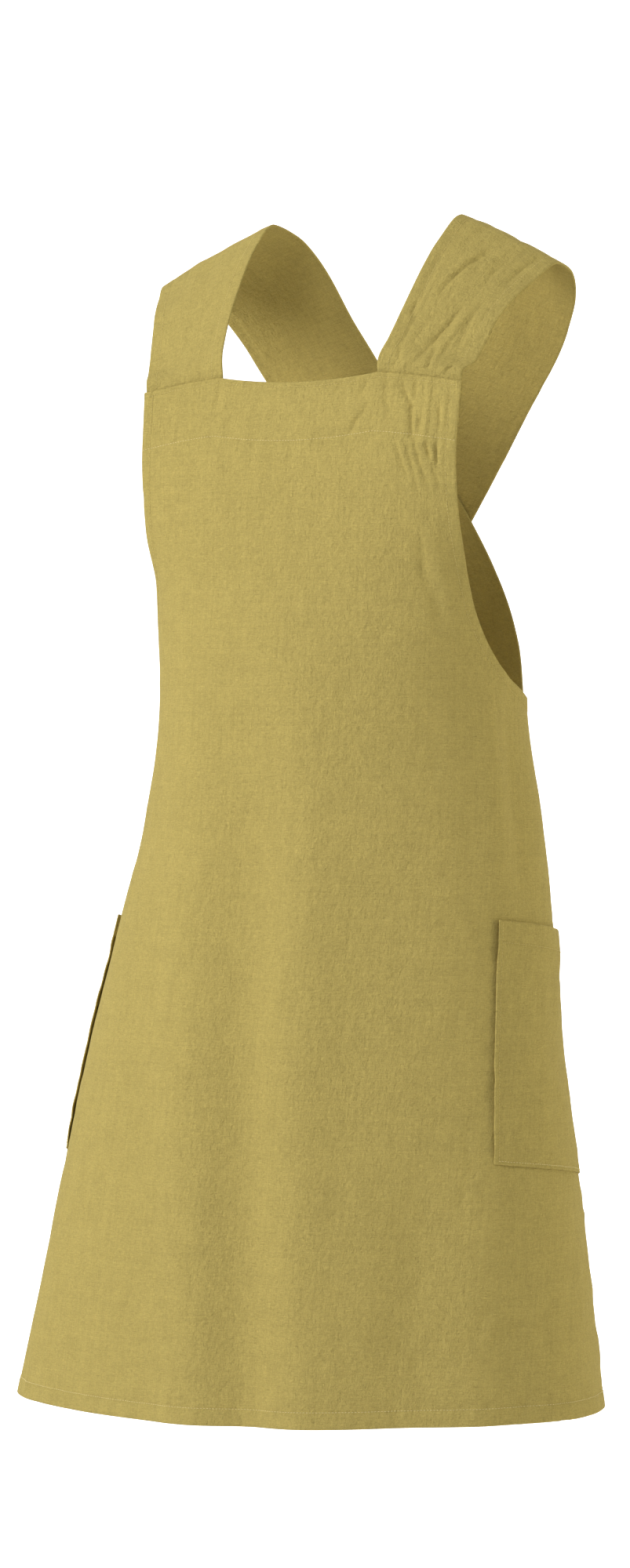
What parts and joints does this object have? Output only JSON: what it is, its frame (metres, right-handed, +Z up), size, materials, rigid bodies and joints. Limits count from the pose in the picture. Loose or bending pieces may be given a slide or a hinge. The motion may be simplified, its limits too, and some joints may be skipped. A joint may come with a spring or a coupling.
{
  "type": "cross back apron",
  "caption": "Sleeveless linen cross back apron with a straight faced bib, wide straps crossing on the back, a flared wrap skirt and hip patch pockets.",
  "frame": {"origin": "middle of the line over the two shoulder straps, where they lie on the wearer's shoulders: midway between the straps, level with the middle of each strap's ridge", "axes": "+Z up, -Y is the way the wearer faces, +X is the wearer's left"},
  "size_m": [0.5322, 0.3691, 1.0231],
  "materials": {
    "linen_body": "matte crinkled plain weave, mustard yellow",
    "linen_strap": "matte crinkled plain weave, two layers",
    "linen_pocket": "matte crinkled plain weave",
    "linen_turned": "matte crinkled plain weave, turned inside and stitched"
  },
  "bodies": {
    "root": {"apron_body": "linen_body", "bib_facing": "linen_turned", "bottom_hem": "linen_turned", "strap_left": "linen_strap", "strap_right": "linen_strap", "armhole_hem_left": "linen_turned", "armhole_hem_right": "linen_turned", "back_hem_left": "linen_turned", "back_hem_right": "linen_turned", "pocket_left": "linen_pocket", "pocket_right": "linen_pocket", "pocket_hem_left": "linen_turned", "pocket_hem_right": "linen_turned"}
  },
  "joints": []
}
